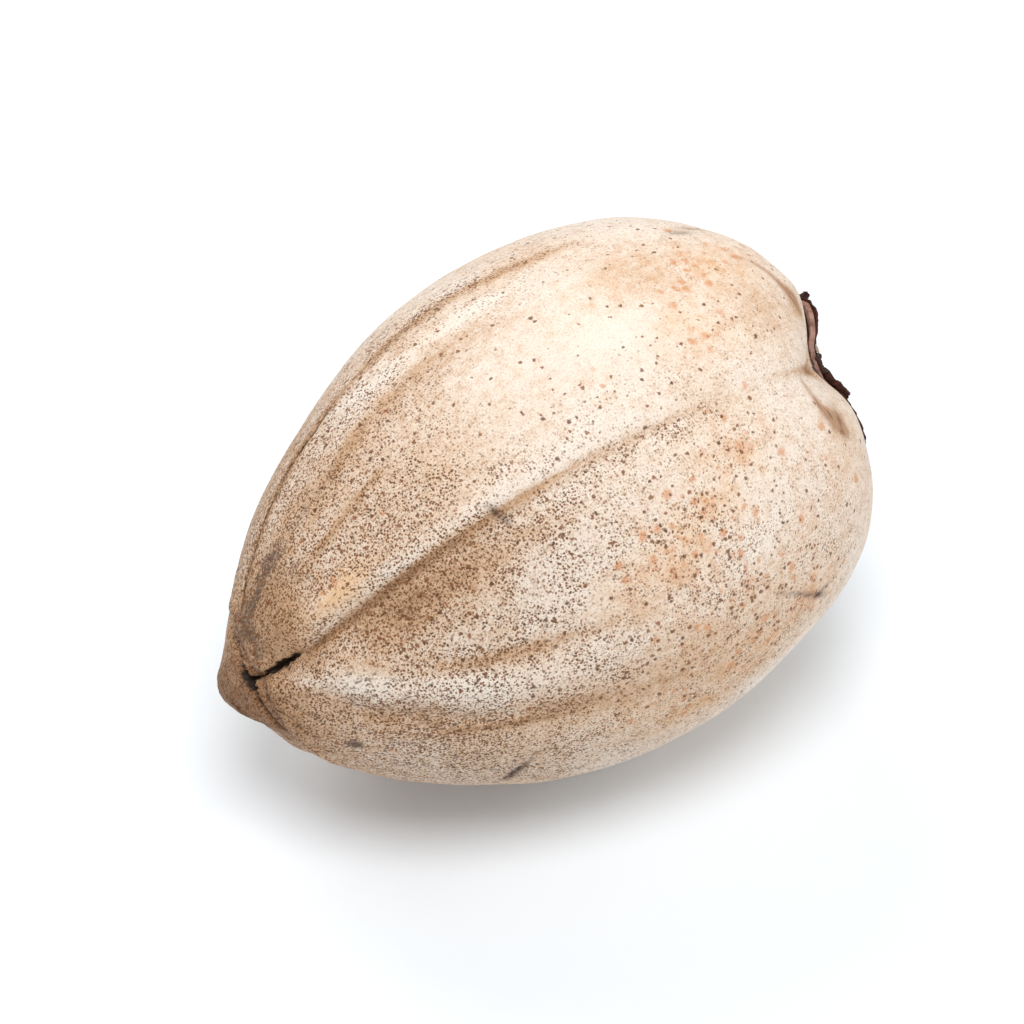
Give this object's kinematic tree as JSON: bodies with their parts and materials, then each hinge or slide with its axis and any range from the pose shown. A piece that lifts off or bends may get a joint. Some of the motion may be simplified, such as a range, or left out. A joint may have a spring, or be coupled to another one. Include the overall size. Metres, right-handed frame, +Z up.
{
  "type": "coconut",
  "caption": "Whole dry coconut in its husk, lying on its side: pointed three-lobed tip at one end, dried brown calyx in a hollow at the other.",
  "frame": {"origin": "middle of the bounding box's underside, on the surface the coconut lies on", "axes": "+X towards the stem end with the calyx, -X towards the tip, +Z up, -Y towards the side with the long crease"},
  "size_m": [0.2408, 0.1792, 0.1772],
  "materials": {
    "husk": "matte, smooth dry skin, cream with brown and orange speckles",
    "calyx": "matte, dry and papery, dark red-brown"
  },
  "bodies": {
    "root": {"husk": "husk", "calyx": "calyx"}
  },
  "joints": []
}
